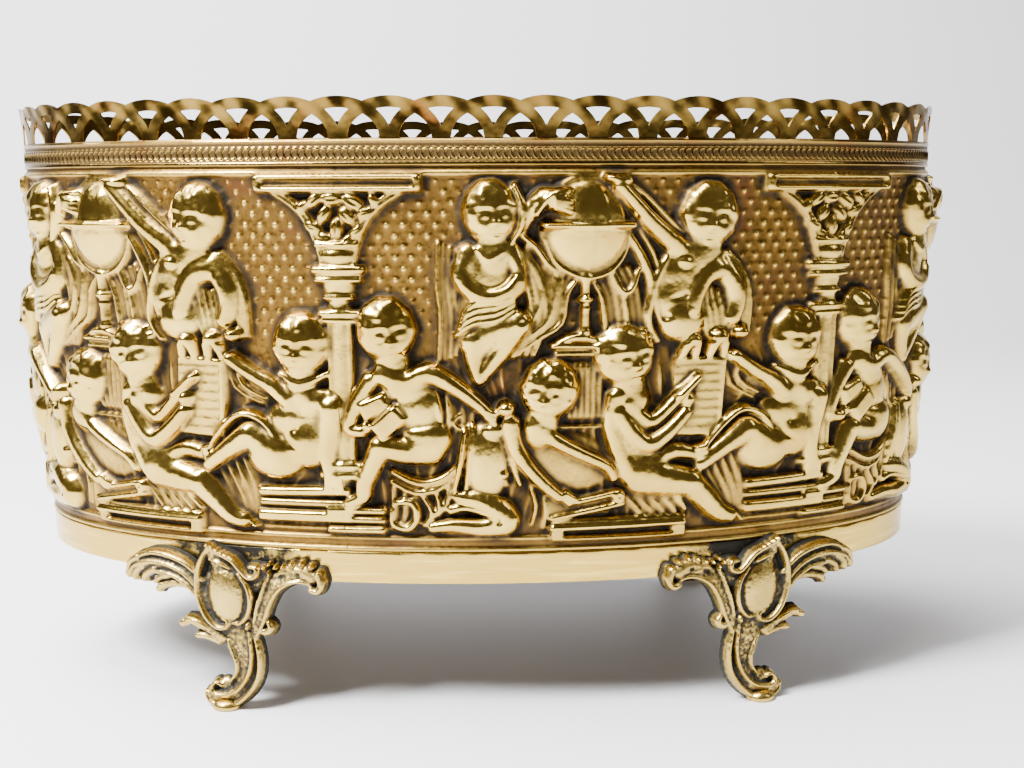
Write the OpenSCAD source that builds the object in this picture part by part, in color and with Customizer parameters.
// Oval brass planter pot: a stamped wall of five scene panels, a pierced gallery and four cast feet.
// Origin: middle of the footprint, on the floor. +X runs along the pot, the front faces -Y, +Z is up.

/* [Overall] */
// Length over the rim
rim_length = 300; // [270:5:330]
// Width over the rim
rim_width = 170; // [155:5:185]
// Height from the floor to the tips of the gallery
total_height = 181; // [176:1:190]
// Height of the flat bottom above the floor
leg_height = 40; // [38:1:42]

/* [Wall] */
// How much further out the wall stands at the top than at the bottom
flare = 5; // [3:0.5:7]
// Thickness of the stamped sheet
sheet = 0.8; // [0.6:0.1:1]
// Height of the plain band round the bottom
band_height = 9.5; // [8:0.5:11]
// Scenes round the wall, one on each panel
scene_count = 5; // [5:1:5]
// Depth of the stamping, as a share of its usual depth
relief_depth = 1; // [0.6:0.1:1.2]

/* [Gallery] */
// Arches round the gallery
arch_count = 51; // [45:2:57]
// Height of the arches above the milled band
arch_height = 11.6; // [10:0.2:12]
// Height of the milled band
milled_height = 7.9; // [7:0.1:9]
// Width of each arch's strip at its crest
arch_strip = 3.2; // [2.6:0.1:3.6]

/* [Feet] */
// Distance round the wall from the middle of the front to the crest of the front left foot
front_left_way = 82.5; // [75:0.5:95]
// Distance round the wall from the middle of the front to the crest of the front right foot
front_right_way = 91; // [75:0.5:95]
// Distance round the wall from the middle of the back to the crest of each back foot
back_way = 87; // [75:0.5:95]
// Depth of a foot, from the band outward
foot_depth = 5.2; // [4:0.2:6]
// Radius of the flat sole
sole_r = 4.5; // [4:0.5:5]

/* [Hidden] */

brass = "goldenrod";
cast_brass = "darkgoldenrod";
solder = "slategray";

half_length = rim_length / 2;
half_width = rim_width / 2;
gallery_z = total_height - arch_height;
strip_z = gallery_z - milled_height;
band_top = leg_height + band_height;
milled_proud = 0.8;   // how far the gallery strip stands out from the lip behind it
strip_inset = 0.2;    // the gallery strip's face, inside the rim's oval
wall_step = 1;        // the wall's top edge, inside the rim's oval
fit_gap = 0.05;       // between two soldered sheets
strip_gap = 0.15;
lip = 4;              // height of the wall that stands up behind the gallery strip
flange = 5.5;         // height of the wall that goes down behind the base band
plate_sheet = 1;
fillet = 2;
fillet_top = 0.4;

// Points of an oval that lies a given distance outside the rim, at a given turn from the front.
function oval(out, turn) = [(half_length + out) * sin(turn), -(half_width + out) * cos(turn)];
function outward(out, turn) =
    let (n = [(half_width + out) * sin(turn), -(half_length + out) * cos(turn)]) n / norm(n);

// Turn at each share of the way round, measured along the oval so that repeats come out equal.
turn_steps = 360;
way_out = -3;
way = [for (i = 0, walked = 0; i <= turn_steps;
    walked = walked + norm(oval(way_out, i + 1) - oval(way_out, i)), i = i + 1) walked];
round_trip = way[turn_steps];
way_table = [for (i = [0:turn_steps]) [way[i] / round_trip, i]];
function turn_at(share) = lookup(share - floor(share), way_table);

// Distance of the wall's outside from the rim's oval, at each height.
function wall_out(z) = -wall_step - flare * (strip_z - min(z, strip_z)) / (strip_z - leg_height);

// The two lower mouldings, the plain field and the top bead, as heights and how proud each stands.
bead = 1.1;
field = 0.2;
lower_mouldings = [[band_top - flange, 0], [band_top, 0], [band_top + 0.4, bead], [band_top + 1.1, bead],
    [band_top + 1.5, field], [band_top + 3, field], [band_top + 3.4, bead], [band_top + 4.2, bead],
    [band_top + 4.8, field]];
top_mouldings = [[strip_z - 3.2, field], [strip_z - 2.8, bead], [strip_z - 1.2, bead],
    [strip_z - 0.6, 0], [strip_z, 0], [strip_z + lip, 0]];
mouldings = concat(lower_mouldings, top_mouldings);

// The scene as plain domes: along the panel from its left column, height above the flat bottom,
// half width, half height and rise.
scene_length = 146.2;
domes = [
    [0, 70, 6, 40, 3], [scene_length, 70, 6, 40, 3],            // columns
    [0, 116, 24, 5, 3.4], [scene_length, 116, 24, 5, 3.4],      // beams over them
    [42.5, 111, 9, 10, 6.4], [42, 89, 9, 13, 4.5], [49, 75, 9, 7, 4.5],       // standing child
    [69.5, 104.5, 14, 14, 6],                                                 // globe
    [105, 108.5, 10, 10.5, 6.4], [103, 84, 11, 12, 4.5],                      // child at the globe
    [81, 69, 10, 10, 6.4], [85, 42, 9, 17, 5], [105, 26, 12, 9, 4.5],         // writing child
    [103.5, 55, 9, 12, 3],                                                    // tablet
    [135, 71.5, 9, 10, 6.4], [134, 43, 11, 14, 5], [115, 42, 10, 9, 4.5],     // reclining child
    [14, 76.5, 9.5, 10, 6.4], [22, 52, 10, 12, 5], [14, 36, 10, 9, 4.5],      // child with a book
    [60, 58, 10, 10, 6.4], [44, 36, 9, 17, 4.2], [42, 21, 13, 8, 5]           // kneeling child
];
function dome(d, along, up) =
    d[4] * sqrt(max(0, 1 - pow((along - d[0]) / d[2], 2) - pow((up - d[1]) / d[3], 2)));
function relief(share, z) =
    relief_depth * max([for (d = domes) dome(d, share * scene_length, z - leg_height)]);

// Heights of the grid rows up the wall.
field_rows = 18;
field_low = lower_mouldings[len(lower_mouldings) - 1][0];
field_high = top_mouldings[0][0];
wall_rows = concat(
    [for (m = lower_mouldings) m[0]],
    [for (i = [1:field_rows]) field_low + (field_high - field_low) * i / field_rows],
    [for (i = [1:len(top_mouldings) - 1]) top_mouldings[i][0]]);
panel_cells = 24;
seam_share = -0.0543;

// A skin between two grids of points, outer and inner, each with the same stations and rows.
module skin(outer, inner, wraps) {
    n = len(outer);
    m = len(outer[0]);
    last = wraps ? n - 1 : n - 2;
    function o(i, j) = (i % n) * m + j;
    function k(i, j) = n * m + (i % n) * m + j;
    points = concat([for (ring = outer) each ring], [for (ring = inner) each ring]);
    sides = [for (i = [0:last], j = [0:m - 2]) each [
        [o(i, j), o(i, j + 1), o(i + 1, j + 1)], [o(i, j), o(i + 1, j + 1), o(i + 1, j)],
        [k(i, j), k(i + 1, j + 1), k(i, j + 1)], [k(i, j), k(i + 1, j), k(i + 1, j + 1)]]];
    rims = [for (i = [0:last]) each [
        [o(i, m - 1), k(i, m - 1), k(i + 1, m - 1)], [o(i, m - 1), k(i + 1, m - 1), o(i + 1, m - 1)],
        [o(i, 0), k(i + 1, 0), k(i, 0)], [o(i, 0), o(i + 1, 0), k(i + 1, 0)]]];
    ends = wraps ? [] : [for (j = [0:m - 2]) each [
        [o(0, j), k(0, j), k(0, j + 1)], [o(0, j), k(0, j + 1), o(0, j + 1)],
        [o(n - 1, j), k(n - 1, j + 1), k(n - 1, j)], [o(n - 1, j), o(n - 1, j + 1), k(n - 1, j + 1)]]];
    polyhedron(points, concat(sides, rims, ends));
}

// A point of the wall, a given distance outside the plain wall.
function wall_point(share, z, out) = let (p = oval(wall_out(z) + out, turn_at(share))) [p.x, p.y, z];
function panel_share(panel, cell) = seam_share + (panel - 1 + cell / panel_cells) / scene_count;
function stamped(cell, z) = lookup(z, mouldings) + relief(cell / panel_cells, z);
function panel_grid(panel, cells, rows, out) = [for (c = cells) [for (z = rows)
    wall_point(panel_share(panel, c), z, stamped((c + panel_cells) % panel_cells, z) + out)]];

module wall_panel(panel) {
    cells = [for (c = [0:panel_cells]) c];
    color(brass)
    skin(panel_grid(panel, cells, wall_rows, 0), panel_grid(panel, cells, wall_rows, -sheet), false);
}

// Solder over the lap of each two panels, inside the pot.
module seam_solder() {
    thickness = 0.6;
    rows = [for (z = wall_rows) if (z > field_low && z <= field_high) z];
    color(solder)
    for (panel = [1:scene_count]) {
        cells = [-1, 0, 1];
        back = -sheet - fit_gap;
        skin(panel_grid(panel, cells, rows, back), panel_grid(panel, cells, rows, back - thickness), false);
    }
}

// A ring with straight sides between two heights, given how far out each corner of its section lies.
ring_steps = 72;
module ring(low, high, outer_low, outer_high, inner_low, inner_high) {
    function side(at_low, at_high) = [for (i = [0:ring_steps - 1])
        let (turn = turn_at(i / ring_steps), a = oval(at_low, turn), b = oval(at_high, turn))
        [[a.x, a.y, low], [b.x, b.y, high]]];
    skin(side(outer_low, outer_high), side(inner_low, inner_high), true);
}

module base_band() {
    color(brass)
    ring(leg_height, band_top, wall_out(leg_height) + sheet, wall_out(band_top) + sheet,
        wall_out(leg_height) + fit_gap, wall_out(band_top) + fit_gap);
}

module base_plate() {
    outline = [for (i = [0:ring_steps - 1]) oval(wall_out(leg_height) - fit_gap, turn_at(i / ring_steps))];
    color(brass)
    translate([0, 0, leg_height]) linear_extrude(plate_sheet) polygon(outline);
}

module base_solder() {
    low = leg_height + plate_sheet;
    edge = wall_out(low) - fit_gap;
    color(solder)
    ring(low, low + fillet, edge, edge, edge - fillet, edge - fillet_top);
}

// The gallery is a row of arches that interlace: each arch springs from under its neighbours' crests.
arch_pitch = round_trip / arch_count;
arch_phase = 0.7827;
outer_reach = arch_pitch * 1.04;
inner_reach = arch_pitch * 0.82;
inner_rise = arch_height - arch_strip;
arc_steps = 4;
function arch_line(reach, rise, x) = rise * sqrt(max(0, 1 - pow(x / reach, 2)));
function spread(low, high) = [for (i = [0:arc_steps]) low + (high - low) * i / arc_steps];

// Pointed opening under a valley, drawn from the middle of the valley.
module valley_opening() {
    foot = inner_reach - arch_pitch / 2;
    right = [for (x = spread(0, foot)) [x, arch_line(inner_reach, inner_rise, x + arch_pitch / 2)]];
    left = [for (i = [arc_steps:-1:1]) [-right[i].x, right[i].y]];
    polygon(concat(left, right));
}

// Curved triangle under a crest, between the arch above and the flanks of its neighbours.
module crest_opening() {
    flank_x = 3.4;
    low = arch_line(outer_reach, arch_height, arch_pitch);
    top = [for (x = spread(-flank_x, flank_x)) [x, arch_line(inner_reach, inner_rise, x)]];
    polygon(concat(top, [[flank_x / 2, arch_line(outer_reach, arch_height, arch_pitch - flank_x / 2)],
        [0, low], [-flank_x / 2, arch_line(outer_reach, arch_height, arch_pitch - flank_x / 2)]]));
}

// What is cut away above a valley to leave the scalloped edge, with a short flat at each crest.
module valley_notch() {
    above = arch_height + 1;
    half = arch_pitch / 2;
    crest_flat = 0.5;
    edge = half - crest_flat;
    right = [for (x = spread(0, edge)) [x, arch_line(outer_reach, arch_height, half - x)]];
    left = [for (i = [arc_steps:-1:1]) [-right[i].x, right[i].y]];
    polygon(concat([[-edge, above]], left, right, [[edge, above]]));
}

// Stands a flat shape up against the gallery at a share of the way round, and cuts through the strip.
module at_gallery(share) {
    turn = turn_at(share);
    place = oval(-milled_proud, turn);
    facing = outward(-milled_proud, turn);
    depth = 6; // well over the strip's thickness and curve
    translate([place.x, place.y, gallery_z])
    rotate([90, 0, atan2(facing.y, facing.x) + 90])
    translate([0, 0, -depth / 2]) linear_extrude(depth) children();
}

module gallery_strip() {
    outline_steps = 2 * arch_count;
    function outline(out) = [for (i = [0:outline_steps - 1])
        oval(out, turn_at((i / 2 + arch_phase) / arch_count))];
    color(brass)
    difference() {
        translate([0, 0, strip_z]) linear_extrude(total_height - strip_z) difference() {
            polygon(outline(-strip_inset));
            polygon(outline(-strip_inset - milled_proud + strip_gap));
        }
        for (i = [0:arch_count - 1]) {
            at_gallery((i + arch_phase) / arch_count) {
                valley_opening();
                valley_notch();
            }
            at_gallery((i + 0.5 + arch_phase) / arch_count) crest_opening();
        }
    }
}

// Feet. A foot is drawn on the band's surface: along it from the crest towards the pot's end, height
// above the floor, and outward from the band.
band_face = wall_out(leg_height) + sheet;
function foot_point(foot_way, p) =
    let (turn = turn_at((foot_way + p[0]) / round_trip), o = oval(band_face, turn),
        q = o + outward(band_face, turn) * p[2]) [q.x, q.y, p[1]];

// A round-edged limb of the casting through stations of [along, height, half width].
limb_sides = 10;
module limb(foot_way, half_depth, stations) {
    n = len(stations);
    middle = back_gap + half_depth;
    function heading(i) =
        let (a = stations[max(0, i - 1)], b = stations[min(n - 1, i + 1)], d = [b[0] - a[0], b[1] - a[1]])
        d / norm(d);
    points = [for (i = [0:n - 1], j = [0:limb_sides - 1])
        let (s = stations[i], h = heading(i), turn = 360 * j / limb_sides, r = s[2] * cos(turn))
        foot_point(foot_way, [s[0] + h.y * r, s[1] - h.x * r, middle + half_depth * sin(turn)])];
    function at(i, j) = i * limb_sides + j % limb_sides;
    sides = [for (i = [0:n - 2], j = [0:limb_sides - 1]) each [
        [at(i, j), at(i, j + 1), at(i + 1, j + 1)], [at(i, j), at(i + 1, j + 1), at(i + 1, j)]]];
    caps = [for (j = [1:limb_sides - 2]) each [
        [at(0, 0), at(0, j + 1), at(0, j)], [at(n - 1, 0), at(n - 1, j), at(n - 1, j + 1)]]];
    polyhedron(points, concat(sides, caps));
}

back_gap = 0.5;
foot_half = foot_depth / 2;
arm_half = foot_half - 0.6;
leaf_half = foot_half - 0.9;
sole_along = -2;
sole_height = 2.4;

module foot(foot_way) {
    // the leg, from the toe up through the shield to the crest
    limb(foot_way, foot_half, [[2.8, 3.2, 2], [-3, 3.1, 2.9], [-8, 5.4, 3.8], [-11, 10, 5.2], [-11.6, 14.5, 5.8],
        [-10, 19.5, 7], [-7, 25, 8.6], [-5, 32, 9.6], [-3.6, 38, 9], [-2, 43.5, 5.4], [0, 49, 1]]);
    // the scroll that arches towards the middle of the pot
    limb(foot_way, arm_half, [[-13, 20, 1.8], [-16.8, 26, 2], [-18.5, 32, 2.2], [-21, 37.5, 2.8],
        [-26, 41.8, 3], [-31, 42.8, 3], [-35.5, 41.6, 2.6], [-37.4, 38.8, 1.6], [-35.6, 37, 1.1]]);
    // the leaf that reaches towards the pot's end, and the small leaf under its tip
    limb(foot_way, leaf_half, [[2, 31, 2], [5, 37, 2.6], [11, 41.6, 3.2], [18, 43, 3.2], [25, 42, 2.8],
        [29.5, 38.8, 1.6], [30.8, 36.4, 0.7]]);
    limb(foot_way, leaf_half, [[9, 37.6, 1.6], [14.5, 37.4, 1.6], [18.5, 35.2, 0.8]]);
    // the leaf beside the shield's foot, and the curl on the other side
    limb(foot_way, leaf_half, [[-2.5, 20.5, 1.6], [3.5, 24.5, 2], [7.5, 26.4, 1.8], [10.6, 25, 0.9]]);
    limb(foot_way, leaf_half, [[-14, 26, 1.4], [-17, 22.8, 1.6], [-20, 22.6, 1.7], [-21.8, 24.8, 1.3],
        [-20.6, 26.8, 0.7]]);
    translate(foot_point(foot_way, [sole_along, 0, back_gap + foot_half]))
    cylinder(h = sole_height, r = sole_r, $fn = 48);
}

// Puts what is drawn at the front right in each of the four corners.
module corner(front, right) {
    mirror([right ? 0 : 1, 0, 0]) mirror([0, front ? 0 : 1, 0]) children();
}

module foot_front_left() { color(cast_brass) corner(true, false) foot(front_left_way); }
module foot_front_right() { color(cast_brass) corner(true, true) foot(front_right_way); }
module foot_back_left() { color(cast_brass) corner(false, false) foot(back_way); }
module foot_back_right() { color(cast_brass) corner(false, true) foot(back_way); }

// Solder between the back of each foot and the band.
module foot_solder() {
    cells = [-14:2:4];
    low = leg_height + 0.5;
    high = leg_height + 4.5;
    face = 0.08;
    function side(foot_way, out) = [for (along = cells) [for (z = [low, high])
        foot_point(foot_way, [along, z, out + wall_out(z) - wall_out(leg_height)])]];
    module pad(foot_way) skin(side(foot_way, back_gap + 0.4), side(foot_way, face), false);
    color(solder) {
        corner(true, false) pad(front_left_way);
        corner(true, true) pad(front_right_way);
        corner(false, false) pad(back_way);
        corner(false, true) pad(back_way);
    }
}

wall_panel(1);  // wall_panel_1
wall_panel(2);  // wall_panel_2
wall_panel(3);  // wall_panel_3
wall_panel(4);  // wall_panel_4
wall_panel(5);  // wall_panel_5
gallery_strip();
base_band();
base_plate();
foot_front_left();
foot_front_right();
foot_back_left();
foot_back_right();
foot_solder();
seam_solder();
base_solder();
